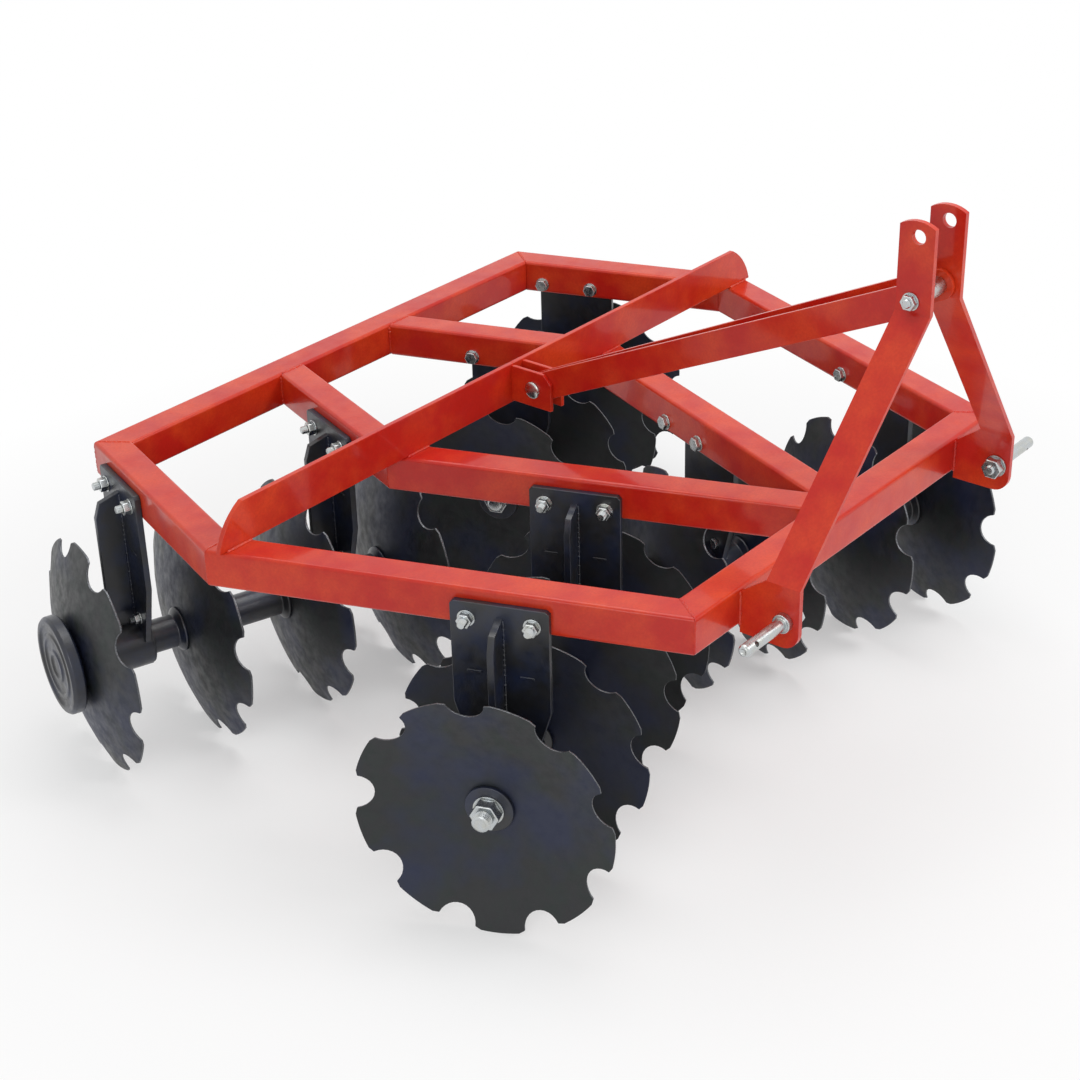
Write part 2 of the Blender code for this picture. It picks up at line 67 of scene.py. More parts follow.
# Metres
TOUCH = 0.0003           # between faces that rest on each other
BAR_THICKNESS = 0.010    # the transverse bar and the mast plates
BRACE_THICKNESS = 0.0085
HANGER_FACE = 0.0122     # a hanger's outer face, out from its beam
LOOP_GAP = 0.02          # between a disc's rings while they are joined
BEARING_HALF = 0.037     # half the length of a bearing housing
CAP_BORE, CAP_R = 0.0346, 0.0462   # a bearing's dust cap
PIN_R, PIN_COLLAR_R = 0.0110, 0.0166
PIN_COLLAR_T = 0.012
PIN_INSIDE = 0.0257      # a link pin's length inside the mast foot
LINCHPIN_IN = 0.026      # from a link pin's tip to its cross hole
AXLE_R = 0.0197          # a gang axle inside its discs
SPOOL_R, FLANGE_R = 0.0322, 0.0435
WASHER = (0.0155, 0.0024)          # radius and thickness
CLAMP_WASHER = (0.0125, 0.0020)
PIN_WASHER = (0.0210, 0.0030)
GANG_WASHER = (0.0275, 0.0035)

WHITE_FROM, WHITE_TO = 0.5, 1.9    # metres from the middle where the floor turns plain white
WHITE_NEAR = 0.35                  # share of plain white under the machine
WORLD_STRENGTH = 0.42
CAMERA_TURN = (-50.08, 28.389, -1.539)          # degrees of yaw, pitch and roll
CAMERA_FROM_BEND = (-2.8219, -2.4406, 2.2847)   # metres from the frame's bend line
CAMERA_LENS_MM = 69.67
LAMPS = (                       # name, place, aim, size, power in watts
    ("key_softbox", (1.5, -3.6, 3.6), (0, 0, 0.4), (2.4, 1.6), 85),
    ("near_fill", (-3.8, -1.6, 2.2), (0, 0, 0.4), (2.2, 1.8), 34),
    ("top_softbox", (0.4, 0.6, 4.4), (0, 0, 0.4), (3.0, 3.0), 75),
)


# ---------------------------------------------------------------- settings

def linear(code):
    """An sRGB hex colour such as "#C8281C" as linear red, green and blue."""
    parts = [int(code[i:i + 2], 16) / 255 for i in (1, 3, 5)]
    return tuple(c / 12.92 if c <= 0.04045 else ((c + 0.055) / 1.055) ** 2.4 for c in parts)


def colour_setting(name, description, code):
    return FloatVectorProperty(name=name, description=description, subtype="COLOR", size=3,
                               min=0, max=1, default=linear(code))


def length_setting(name, description, default):
    return FloatProperty(name=name, description=description, default=default, min=0,
                         unit="LENGTH", subtype="DISTANCE", precision=4)


class HarrowSizes(bpy.types.PropertyGroup):
    disc_radius: length_setting("Disc radius", "Outside radius of a notched disc", 0.230)
    disc_thickness: length_setting("Disc thickness", "Plate thickness of a disc", 0.004)
    disc_dish: length_setting("Disc dish", "How deep a disc is hollowed", 0.045)
    hub_flat: length_setting("Hub flat", "Radius of the flat seat in a disc's middle", 0.050)
    notch_radius: length_setting("Notch radius", "Radius of the half-round notches", 0.034)
    notches: IntProperty(name="Notches", description="Notches round each disc", default=9, min=3)
    ground_edge: length_setting("Ground edge", "Width of the ground bevel on the rim", 0.005)
    nut_width: length_setting("Nut width", "Across the flats of a hanger nut", 0.024)
    nut_height: length_setting("Nut height", "Height of a hanger nut", 0.013)
    bolt_radius: length_setting("Bolt radius", "Radius of a hanger bolt's thread", 0.0079)
    bolt_spread: length_setting("Bolt spread", "Between the two bolts of a hanger", 0.114)
    bolt_height: length_setting("Bolt height", "Hanger bolts above the ground", 0.545)
    axle_nut_width: length_setting("Axle nut width", "Across the flats of a gang nut", 0.046)
    weld_leg: length_setting("Weld leg", "Radius of a weld bead", 0.0035)
    edge_round: length_setting("Edge round", "Rounding of a plate's cut edges", 0.0011)


class HarrowColours(bpy.types.PropertyGroup):
    enamel: colour_setting("Enamel", "Red of the frame and mast", "#C62115")
    enamel_light: colour_setting("Enamel, thick", "Orange red where the coat lies thick", "#DA431D")
    black: colour_setting("Black paint", "Hangers, axles and bearings", "#212225")
    disc: colour_setting("Disc lacquer", "Discs, neutral part", "#2A2B2D")
    disc_cool: colour_setting("Disc temper", "Discs, cool heat-treated patches", "#242A41")
    ground: colour_setting("Ground steel", "Ground rim of the discs", "#74767A")
    zinc: colour_setting("Zinc plate", "Nuts, bolts and pins", "#BFC3C5")
    floor: colour_setting("Floor", "Floor and backdrop", "#F4F4F4")


def sizes():
    return bpy.context.scene.harrow_sizes


def colours():
    return bpy.context.scene.harrow_colours


# ---------------------------------------------------------------- materials

def set_inputs(tree, node, inputs):
    """Sets a node's inputs by name or number; each is a value or another node's output."""
    for key, value in inputs.items():
        if isinstance(value, bpy.types.NodeSocket):
            tree.links.new(value, node.inputs[key])
        else:
            node.inputs[key].default_value = value


def add_node(tree, kind, inputs, **settings):
    """A node with its settings, and its inputs set or linked."""
    node = tree.nodes.new(kind)
    for key, value in settings.items():
        setattr(node, key, value)
    set_inputs(tree, node, inputs)
    return node


def new_material(name):
    mat = bpy.data.materials.new(name)
    mat.use_nodes = True
    tree = mat.node_tree
    place = add_node(tree, "ShaderNodeTexCoord", {}).outputs["Object"]
    return mat, tree, tree.nodes["Principled BSDF"], place


def patches(tree, place, size_mm, low, high, start=0.0, stop=1.0, detail=3.0, roughness=0.55):
    """A value that goes from start to stop in soft-edged patches about size_mm across."""
    cloud = add_node(tree, "ShaderNodeTexNoise", {
        "Vector": place, "Scale": 1000 / size_mm, "Detail": detail, "Roughness": roughness})
    limits = add_node(tree, "ShaderNodeMapRange", {
        "Value": cloud.outputs["Fac"], "From Min": low, "From Max": high,
        "To Min": start, "To Max": stop})
    return limits.outputs["Result"]


def mottle(tree, place, under, over, size_mm, low, high, most=1.0, detail=3.0, roughness=0.55):
    """One colour with patches of another on it, which cover it by most at their thickest."""
    share = patches(tree, place, size_mm, low, high, 0.0, most, detail, roughness)
    paints = [c if isinstance(c, bpy.types.NodeSocket) else (*c, 1) for c in (under, over)]
    blend = add_node(tree, "ShaderNodeMix", {"Factor": share, 6: paints[0], 7: paints[1]},
                     data_type="RGBA")
    return blend.outputs[2]


def relief(tree, place, size_mm, depth_mm, strength, below=None, detail=2.0, roughness=0.55):
    """Lumps about size_mm across and depth_mm high, on top of another relief or on the flat."""
    lumps = add_node(tree, "ShaderNodeTexNoise", {
        "Vector": place, "Scale": 1000 / size_mm, "Detail": detail, "Roughness": roughness})
    inputs = {"Height": lumps.outputs["Fac"], "Strength": strength, "Distance": depth_mm / 1000}
    if below:
        inputs["Normal"] = below
    return add_node(tree, "ShaderNodeBump", inputs).outputs["Normal"]


def shade(colour, red, green, blue):
    """A colour with its channels made stronger or weaker."""
    return tuple(v * k for v, k in zip(colour, (red, green, blue)))


def gloss_enamel():
    """Alkyd enamel sprayed on mild steel: wet-looking, slightly wavy, thicker in places, so the
    light breaks into soft streaks along the edges; a fine grain dulls the flats."""
    mat, tree, shader, place = new_material("gloss_red_enamel")
    c = colours()
    coat = mottle(tree, place, c.enamel, c.enamel_light, 90, 0.38, 0.66, detail=4)
    grain = mottle(tree, place, coat, shade(c.enamel, 0.72, 0.72, 0.72), 4.5, 0.35, 0.70, 0.30, 4)
    peel = relief(tree, place, 3.0, 0.05, 0.6)
    set_inputs(tree, shader, {
        "Base Color": grain,
        "Roughness": patches(tree, place, 35, 0.35, 0.7, 0.28, 0.44),
        "Coat Weight": 0.4,
        "Coat Roughness": 0.08,
        "IOR": 1.5,
        "Specular IOR Level": 0.2,
        "Normal": relief(tree, place, 28, 0.25, 0.5, peel),
    })
    return mat


def black_paint():
    """Black chassis paint on cast iron and sawn plate: semi-gloss, with the casting's grain
    showing through as a fine pebble, and painted bluish reflection patches mixed into its colour."""
    mat, tree, shader, place = new_material("semi_gloss_black_paint")
    c = colours()
    pebble = relief(tree, place, 1.8, 0.12, 0.6)
    set_inputs(tree, shader, {
        # painted reflection: random bluish patches in the base colour stand in for the sky side's
        # reflection
        "Base Color": mottle(tree, place, c.black, shade(c.black, 0.75, 1.1, 2.4), 60, 0.42, 0.66,
                             detail=4),
        "Roughness": patches(tree, place, 18, 0.3, 0.7, 0.30, 0.48),
        "Coat Weight": 0.2,
        "Coat Roughness": 0.2,
        "Normal": relief(tree, place, 14, 0.3, 0.4, pebble),
    })
    return mat


def lacquered_disc_steel():
    """Pressed and oil-hardened spring steel under thin clear-black lacquer: dull, mottled by
    rolling scale, with cool blue and green temper patches and fine scratches."""
    mat, tree, shader, place = new_material("lacquered_spring_steel")
    c = colours()
    scale = mottle(tree, place, c.disc, shade(c.disc, 0.85, 1.08, 0.95), 45, 0.45, 0.62,
                   detail=5, roughness=0.65)
    temper = mottle(tree, place, scale, c.disc_cool, 150, 0.44, 0.62)
    fleck = mottle(tree, place, temper, shade(c.disc, 1.9, 1.9, 1.9), 3.2, 0.60, 0.72, 0.5, 4, 0.7)
    grain = relief(tree, place, 2.4, 0.06, 0.7, detail=4, roughness=0.7)
    set_inputs(tree, shader, {
        "Base Color": fleck,
        "Metallic": 0.25,
        "Roughness": patches(tree, place, 22, 0.35, 0.65, 0.36, 0.56, 4, 0.65),
        "Normal": relief(tree, place, 30, 0.35, 0.45, grain, 3),
    })
    return mat


def ground_steel():
    """The rim's bevel, ground to an edge after pressing: grey metal with fine grinding lines."""
    mat, tree, shader, place = new_material("ground_steel_edge")
    c = colours()
    set_inputs(tree, shader, {
        "Base Color": mottle(tree, place, c.ground, shade(c.ground, 0.35, 0.35, 0.35), 1.6,
                             0.4, 0.65, detail=2),
        "Metallic": 0.85,
        "Roughness": patches(tree, place, 9, 0.3, 0.7, 0.34, 0.55),
        "Normal": relief(tree, place, 1.1, 0.05, 0.5),
    })
    return mat


def zinc_plate():
    """Bright electroplated zinc on turned and forged steel: silvery, faintly yellow and blue
    where the passivation varies, with small dull spots."""
    mat, tree, shader, place = new_material("bright_zinc_plate")
    c = colours()
    set_inputs(tree, shader, {
        "Base Color": mottle(tree, place, c.zinc, shade(c.zinc, 1.0, 0.97, 0.90), 16, 0.42, 0.64),
        "Metallic": 1.0,
        "Roughness": patches(tree, place, 8, 0.35, 0.7, 0.22, 0.34, 2),
        "Normal": relief(tree, place, 2.5, 0.02, 0.25, detail=1),
    })
    return mat


def seen_directly(tree):
    """1 where the eye, a mirror or a pane shows the backdrop, 0 where it only lights things."""
    path = add_node(tree, "ShaderNodeLightPath", {})
    seen = path.outputs["Is Camera Ray"]
    for other in ("Is Glossy Ray", "Is Transmission Ray"):
        seen = add_node(tree, "ShaderNodeMath", {0: seen, 1: path.outputs[other]},
                        operation="MAXIMUM").outputs[0]
    return seen


def floor_paper():
    """Matt backdrop paper: it keeps the shadow near the machine and is plain white beyond."""
    mat, tree, shader, place = new_material("matt_backdrop_paper")
    set_inputs(tree, shader, {"Base Color": (*colours().floor, 1), "Roughness": 0.9,
                              "Specular IOR Level": 0.1})
    away = add_node(tree, "ShaderNodeVectorMath", {0: place}, operation="LENGTH")
    far = add_node(tree, "ShaderNodeMapRange", {
        "Value": away.outputs["Value"], "From Min": WHITE_FROM, "From Max": WHITE_TO,
        "To Min": WHITE_NEAR, "To Max": 1.0})
    share = add_node(tree, "ShaderNodeMath", {0: far.outputs["Result"], 1: seen_directly(tree)},
                     operation="MULTIPLY")
    white = add_node(tree, "ShaderNodeEmission", {})
    blend = add_node(tree, "ShaderNodeMixShader", {
        0: share.outputs[0], 1: shader.outputs[0], 2: white.outputs[0]})
    set_inputs(tree, tree.nodes["Material Output"], {"Surface": blend.outputs[0]})
    return mat


MATERIALS = {
    "red_enamel": gloss_enamel,
    "black_paint": black_paint,
    "disc_steel": lacquered_disc_steel,
    "ground_edge": ground_steel,
    "zinc_plate": zinc_plate,
}
_made = {}


def finish_material(name):
    if name not in _made:
        _made[name] = MATERIALS[name]()
    return _made[name]


# ---------------------------------------------------------------- mesh helpers

def add_piece(name, bm, body, slot, node=None, finishes=(), angle=35):
    """Turns a bmesh into a finished piece that rides on a body and may stand for a CAD node."""
    mesh = bpy.data.meshes.new(name)
    bm.to_mesh(mesh)
    bm.free()
    mesh.shade_smooth()
    mesh.set_sharp_from_angle(angle=math.radians(angle))
    for finish in finishes or (slot,):
        mesh.materials.append(finish_material(finish))
    piece = bpy.data.objects.new(name, mesh)
    bpy.context.scene.collection.objects.link(piece)
    weighted = piece.modifiers.new("Weighted normals", "WEIGHTED_NORMAL")
    weighted.keep_sharp = True
    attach(piece, body)
    if node:
        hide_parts(node)
    return piece


def refined(node, width, angle=30):
    """A bmesh copy of a CAD node, its triangles merged and its outer edges rounded."""
    bm = bmesh.new()
    bm.from_mesh(frame["nodes"][node].data)
    bmesh.ops.remove_doubles(bm, verts=bm.verts, dist=2e-5)
    bmesh.ops.dissolve_limit(bm, angle_limit=math.radians(0.6), verts=bm.verts, edges=bm.edges)
    outer = [e for e in bm.edges if e.calc_face_angle_signed(0) > math.radians(angle)]
    bmesh.ops.bevel(bm, geom=outer, offset=width, offset_type="OFFSET", segments=2,
                    profile=0.5, affect="EDGES", clamp_overlap=True, material=-1)
    return bm


def frame_at(point, along, up=Vector((0, 0, 1))):
    """The matrix whose X runs along a direction and whose Z is near up."""
    x = along.normalized()
    y = up.cross(x).normalized()
    z = x.cross(y)
    return Matrix.Translation(point) @ Matrix((x, y, z)).transposed().to_4x4()


def along_x():
    """Turns a shape made round Z so that it lies round X."""
    return Matrix.Rotation(math.pi / 2, 4, "Y")


def add_cylinder(bm, matrix, x0, x1, radius, segments=32, edge=0.0008):
    """A cylinder round the local X axis from x0 to x1, with its end edges rounded."""
    place = matrix @ Matrix.Translation(((x0 + x1) / 2, 0, 0)) @ along_x()
    made = bmesh.ops.create_cone(bm, cap_ends=True, segments=segments, radius1=radius,
                                 radius2=radius, depth=abs(x1 - x0), matrix=place)
    if edge:
        rims = {e for v in made["verts"] for e in v.link_edges
                if any(len(f.verts) > 4 for f in e.link_faces)}
        bmesh.ops.bevel(bm, geom=list(rims), offset=edge, offset_type="OFFSET", segments=2,
                        profile=0.5, affect="EDGES", clamp_overlap=True, material=-1)


def add_hexagon(bm, matrix, x0, x1, flats):
    """A nut or bolt head: a hexagonal prism whose outer corners are chamfered."""
    place = matrix @ Matrix.Translation(((x0 + x1) / 2, 0, 0)) @ along_x()
    radius = flats / math.sqrt(3)
    made = bmesh.ops.create_cone(bm, cap_ends=True, segments=6, radius1=radius,
                                 radius2=radius, depth=abs(x1 - x0), matrix=place)
    edges = {e for v in made["verts"] for e in v.link_edges}
    bmesh.ops.bevel(bm, geom=list(edges), offset=flats * 0.055, offset_type="OFFSET",
                    segments=3, profile=0.5, affect="EDGES", clamp_overlap=True, material=-1)


def add_nut(bm, place, face, width, height, bolt_r=0.0, out=0.0, washer=WASHER):
    """A washer on a face, a nut or head on it, and a bolt's bare end, all along the local X."""
    washer_r, washer_t = washer
    seat = face + washer_t
    add_cylinder(bm, place, face, seat, washer_r, 40)
    add_hexagon(bm, place, seat, seat + height, width)
    if out:
        add_thread(bm, place, seat + height, seat + height + out, bolt_r)


def turned_back(place):
    """The same place with its X axis pointing the other way."""
    return place @ Matrix.Rotation(math.pi, 4, "Z")


def join(bm, part):
    """Adds one bmesh to another and frees it."""
    mesh = bpy.data.meshes.new("part")
    part.to_mesh(mesh)
    part.free()
    bm.from_mesh(mesh)
    bpy.data.meshes.remove(mesh)


def cut(solid, tool):
    """One bmesh with another cut out of it, as a drill would."""
    made = []
    for bm in (solid, tool):
        mesh = bpy.data.meshes.new("solid")
        bm.to_mesh(mesh)
        bm.free()
        made.append(bpy.data.objects.new("solid", mesh))
        bpy.context.scene.collection.objects.link(made[-1])
    drill = made[0].modifiers.new("Drill", "BOOLEAN")
    drill.operation, drill.solver, drill.object = "DIFFERENCE", "EXACT", made[1]
    shaped = made[0].evaluated_get(bpy.context.evaluated_depsgraph_get())
    left = bmesh.new()
    left.from_mesh(shaped.to_mesh())
    for obj in made:
        mesh = obj.data
        bpy.data.objects.remove(obj)
        bpy.data.meshes.remove(mesh)
    return left


def add_thread(bm, matrix, x0, x1, radius, pitch=0.002):
    """The bare end of a bolt: turned ridges at the thread's pitch and a chamfered point."""
    root = radius * 0.88
    count = max(round((x1 - x0) / pitch), 1)
    step = (x1 - x0) / count
    ridges = [(x0 + (i + share) * step, size) for i in range(count)
              for share, size in ((0, root), (0.5, radius))]
    part = lathe([(x0, 0), *ridges, (x1, root), (x1 + step / 2, root * 0.85),
                  (x1 + step / 2, 0)], 20)
    bmesh.ops.transform(part, matrix=matrix, verts=part.verts)
    join(bm, part)


def add_weld(bm, start, end, radius, step=0.0032):
    """A weld bead: one ripple after another, uneven as a hand-laid bead is."""
    run = end - start
    count = max(int(run.length / step), 2)
    pace = run.length / count
    profile = [(-radius * 0.5, 0), (-radius * 0.3, radius * 0.6)]
    for i in range(count):
        swell = radius * (1 + 0.10 * math.sin(i * 2.1) + 0.06 * math.sin(i * 5.3))
        profile += [(i * pace, swell * 0.80), ((i + 0.55) * pace, swell)]
    profile += [(run.length + radius * 0.3, radius * 0.6), (run.length + radius * 0.5, 0)]
    part = lathe(profile, 10)
    lie = run.to_track_quat("X", "Z").to_matrix().to_4x4()
    bmesh.ops.transform(part, matrix=Matrix.Translation(start) @ lie, verts=part.verts)
    join(bm, part)


def lathe(profile, segments):
    """A closed body turned round the local X axis from (x, radius) pairs."""
    bm = bmesh.new()
    verts = [bm.verts.new((x, 0, r)) for x, r in profile]
    edges = [bm.edges.new(pair) for pair in zip(verts, verts[1:])]
    bmesh.ops.spin(bm, geom=verts + edges, axis=(1, 0, 0), cent=(0, 0, 0),
                   angle=math.tau, steps=segments, use_merge=True)
    bmesh.ops.remove_doubles(bm, verts=bm.verts, dist=1e-6)
    bmesh.ops.recalc_face_normals(bm, faces=bm.faces)
    return bm


def dome(base, shoulder, top, radius, steps=8):
    """A turned profile of a pin's head: a short straight side under a shallow dome."""
    turns = [math.pi / 2 * i / steps for i in range(steps + 1)]
    crown = [(shoulder + (top - shoulder) * math.sin(a), radius * math.cos(a)) for a in turns]
    return [(base, 0), (base, radius), *crown]


def rounded(profile, radius, steps=3):
    """A turned profile whose corners are rounded, as a casting's or a turned part's are."""
    points = [profile[0]]
    for before, here, after in zip(profile, profile[1:], profile[2:]):
        a = Vector(before) - Vector(here)
        b = Vector(after) - Vector(here)
        cut = min(radius, a.length * 0.45, b.length * 0.45)
        if cut < 2e-4 or abs(a.normalized().dot(b.normalized())) > 0.98:
            points.append(here)
            continue
        first, last = Vector(here) + a.normalized() * cut, Vector(here) + b.normalized() * cut
        for i in range(steps + 1):
            t = i / steps
            bend = first.lerp(Vector(here), t).lerp(Vector(here).lerp(last, t), t)
            points.append(tuple(bend))
    return points + [profile[-1]]


# ---------------------------------------------------------------- places read from the frame

def node_span(node, origin, direction):
    """The lowest and highest reach of a node along a direction from an origin."""
    reach = [(v.co - origin).dot(direction) for v in frame["nodes"][node].data.vertices]
    return min(reach), max(reach)


def hub_place(node, end, origin, out):
    """Where a disc's hub sits along its gang, outwards from the gang's axis point."""
    low, high = node_span(node, origin, out)
    half = sizes().disc_thickness / 2
    return low + half if end == "front" else high - half


def bearing_middle(end, name, origin, out):
    """The outer bearing sits midway between the two outer discs."""
    places = [hub_place(f"disc_{end}_{name}_{n}", end, origin, out) for n in (1, 2)]
    return sum(places) / 2


def box_middle(node):
    low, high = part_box(node)
    return (Vector(low) + Vector(high)) / 2


def gang_place(end, side_name):
    """A gang's axis point under the beam's outer face, and its outward direction."""
    joint = JOINTS[f"gang_{end}_{side_name}"]
    out = Vector(joint["axis"]).normalized() * SIDES[side_name]
    return Vector(joint["pos_m"]), out


def corners():
    """Outer corners of the frame's left half at its top, and a beam's width and height."""
    front_low, front_high = (Vector(p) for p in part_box("front_beam"))
    rear_low, rear_high = (Vector(p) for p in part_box("rear_beam"))
    outer_low, outer_high = (Vector(p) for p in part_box("outer_beam_front_left"))
    inner_low = Vector(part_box("inner_beam_front_left")[0])
    top = front_high.z
    places = {
        "front": Vector((front_low.x, front_low.y, top)),
        "bend": Vector((outer_low.x, outer_high.y, top)),
        "rear": Vector((rear_low.x, rear_high.y, top)),
        "inner": Vector((inner_low.x, outer_high.y, top)),
    }
    return places, front_high.y - front_low.y, front_high.z - front_low.z


def mirrored(point, side):
    """A point of the left half, or its twin on the right."""
    return point.copy() if side < 0 else Vector((-point.x, point.y, point.z))


# ---------------------------------------------------------------- pieces

class HARROW_OT_frame(bpy.types.Operator):
    """Box-section beams and the transverse bar, with the rounded edges of rolled tube"""
    bl_idname = "harrow.frame"
    bl_label = "Frame"

    def execute(self, context):
        nodes = [n for n in frame["nodes"] if "_beam" in n or n.startswith("cross_bar")]
        for node in sorted(nodes):
            bm = refined(node, sizes().edge_round)
            add_piece(f"{node}_tube", bm, FRAME_BODY, "red_enamel", node)
        self.welds()
        return {"FINISHED"}

    def welds(self):
        places, width, height = corners()
        leg = sizes().weld_leg
        bm = bmesh.new()
        sink = Vector((0, 0, -leg * 0.35))
        along = {
            "front": (places["bend"] - places["front"]).normalized(),
            "rear": (places["bend"] - places["rear"]).normalized(),
        }
        to_middle = Vector((1, 0, 0))
        seams = [
            (places["front"], to_middle, along["front"]),
            (places["rear"], to_middle, along["rear"]),
            (places["bend"], -along["front"], -along["rear"]),
            (places["inner"], -along["front"], -along["rear"]),
        ]
        bar_tip, bar_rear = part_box("cross_bar_left")[0][0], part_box("cross_bar_left")[1][1]
        for side in SIDES.values():
            for corner, first, second in seams:
                across = (first + second) * width / abs(first.cross(second).z)
                tilt = across.normalized()
                start = corner + tilt * 0.010 + sink * 1.4
                stop = corner + across - tilt * 0.006 + sink * 1.4
                low = corner + tilt * leg * 0.9
                add_weld(bm, mirrored(start, side), mirrored(stop, side), leg)
                add_weld(bm, mirrored(low - Vector((0, 0, 0.008)), side),
                         mirrored(low - Vector((0, 0, height - 0.008)), side), leg)
            self.bar_welds(bm, side, places, width, (bar_tip, bar_rear), along["front"], leg)
            self.butt_welds(bm, side, leg)
        add_piece("frame_welds", bm, FRAME_BODY, "red_enamel", angle=60)

    def bar_welds(self, bm, side, places, width, bar, along, leg):
        """Fillets where the transverse bar stands on the four side beams."""
        tip_x, rear_y = bar
        front_y = rear_y - BAR_THICKNESS
        slope = along.x / along.y
        reach = width / abs(along.y)
        for corner in (places["bend"], places["inner"]):
            for y in (front_y - leg * 0.3, rear_y + leg * 0.3):
                x = corner.x + slope * (y - corner.y)
                start = Vector((max(x + 0.006, tip_x + 0.002), y, corner.z + leg * 0.2))
                stop = Vector((x + reach - 0.006, y, corner.z + leg * 0.2))
                add_weld(bm, mirrored(start, side), mirrored(stop, side), leg)

    def butt_welds(self, bm, side, leg):
        """Seams where the inner side beams meet the front and rear beams."""
        for end in ENDS:
            low, high = (Vector(p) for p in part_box(f"inner_beam_{end}_left"))
            y = low.y if end == "front" else high.y
            faces = places_of_inner(end)
            start = Vector((faces[0] + 0.008, y, high.z - leg * 0.4))
            stop = Vector((min(faces[1] - 0.008, -0.001), y, high.z - leg * 0.4))
            add_weld(bm, mirrored(start, side), mirrored(stop, side), leg)
            for x in faces:
                if x < -0.004:
                    low_end = Vector((x, y, low.z + 0.008))
                    add_weld(bm, mirrored(low_end, side),
                             mirrored(Vector((x, y, high.z - 0.008)), side), leg)


def places_of_inner(end):
    """Where a left inner side beam's two faces reach the front or rear beam, along X."""
    node = frame["nodes"][f"inner_beam_{end}_left"]
    low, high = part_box(f"inner_beam_{end}_left")
    y = low[1] if end == "front" else high[1]
    reach = [v.co.x for v in node.data.vertices if abs(v.co.y - y) < 0.001]
    return min(reach), max(reach)


class HARROW_OT_hitch(bpy.types.Operator):
    """Mast plates, braces, mast bolt, brace pin and lower link pins with their linchpin holes"""
    bl_idname = "harrow.hitch"
    bl_label = "Hitch"

    def execute(self, context):
        for name in SIDES:
            for node in (f"mast_plate_{name}", f"mast_brace_{name}"):
                add_piece(f"{node}_bar", refined(node, sizes().edge_round), FRAME_BODY,
                          "red_enamel", node)
        self.mast_bolt()
        self.brace_pin()
        for name, side in SIDES.items():
            self.link_pin(name, side)
        self.foot_welds()
        return {"FINISHED"}

    def mast_bolt(self):
        """A bolt through plates and braces, with a spacer tube between them and nuts outside."""
        middle = box_middle("mast_bolt")
        inside = abs(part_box("mast_plate_right")[0][0])
        outside = inside + BAR_THICKNESS
        spacer = inside - BRACE_THICKNESS
        bm = bmesh.new()
        place = frame_at(middle, Vector((1, 0, 0)))
        add_cylinder(bm, place, -outside, outside, 0.0082)
        add_cylinder(bm, place, -spacer, spacer, 0.0155)
        s = sizes()
        for side in SIDES.values():
            face = frame_at(middle, Vector((side, 0, 0)))
            add_nut(bm, face, outside + TOUCH, s.nut_width, 0.010, s.bolt_radius, 0.0025)
        add_piece("mast_bolt_and_nuts", bm, FRAME_BODY, "zinc_plate", "mast_bolt")

    def brace_pin(self):
        """A plain pin with a low domed head at each end."""
        middle = box_middle("brace_pin")
        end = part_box("brace_pin")[1][0]
        bm = bmesh.new()
        add_cylinder(bm, frame_at(middle, Vector((1, 0, 0))), 0.002 - end, end - 0.002, 0.0122, 48)
        for side in SIDES.values():
            head = lathe(dome(end - 0.006, end - 0.003, end + 0.001, 0.0168), 48)
            bmesh.ops.transform(head, matrix=frame_at(middle, Vector((side, 0, 0))),
                                verts=head.verts)
            join(bm, head)
        add_piece("brace_pin_turned", bm, FRAME_BODY, "zinc_plate", "brace_pin")

    def link_pin(self, name, side):
        """A turned pin with a collar outside the mast foot, a nut inside it and a cross hole."""
        low, high = (Vector(p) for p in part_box(f"lower_link_pin_{name}"))
        middle = (low + high) / 2
        start, tip = sorted((abs(low.x), abs(high.x)))
        foot = start + PIN_INSIDE
        collar = foot + BAR_THICKNESS + 2 * TOUCH
        outline = [(foot - 0.004, 0), (foot - 0.004, PIN_R), (collar, PIN_R),
                   (collar, PIN_COLLAR_R), (collar + PIN_COLLAR_T, PIN_COLLAR_R),
                   (collar + PIN_COLLAR_T, PIN_R), (tip - 0.004, PIN_R), (tip, 0.0085),
                   (tip, 0.0052), (tip - 0.002, 0.0040), (tip - 0.002, 0)]
        drill = bmesh.new()
        hole = Matrix.Translation((tip - LINCHPIN_IN, 0, 0)) @ Matrix.Rotation(0.6, 4, "X")
        add_cylinder(drill, hole @ Matrix.Rotation(math.pi / 2, 4, "Z"), -0.02, 0.02, 0.0048, 24,
                     edge=0)
        bm = bmesh.new()
        join(bm, cut(lathe(rounded(outline, 0.0012), 48), drill))
        nut_height = 0.018
        add_nut(bm, turned_back(Matrix.Identity(4)), -foot, 0.0350, nut_height, 0.0088,
                foot - PIN_WASHER[1] - nut_height - start, PIN_WASHER)
        place = frame_at(Vector((0, middle.y, middle.z)), Vector((side, 0, 0)))
        bmesh.ops.transform(bm, matrix=place, verts=bm.verts)
        add_piece(f"lower_link_pin_{name}_turned", bm, FRAME_BODY, "zinc_plate",
                  f"lower_link_pin_{name}")

    def foot_welds(self):
        """Fillets down both sides of each mast foot where it meets the front beam."""
        low, high = (Vector(p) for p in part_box("front_beam"))
        leg = sizes().weld_leg
        bm = bmesh.new()
        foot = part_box("mast_plate_right")[1][0]
        for side in SIDES.values():
            for x in (foot - 0.010 - leg * 0.2, foot + leg * 0.2):
                add_weld(bm, Vector((side * x, low.y - leg * 0.2, low.z + 0.003)),
                         Vector((side * x, low.y - leg * 0.2, high.z - 0.008)), leg)
        add_piece("mast_foot_welds", bm, FRAME_BODY, "red_enamel", angle=60)


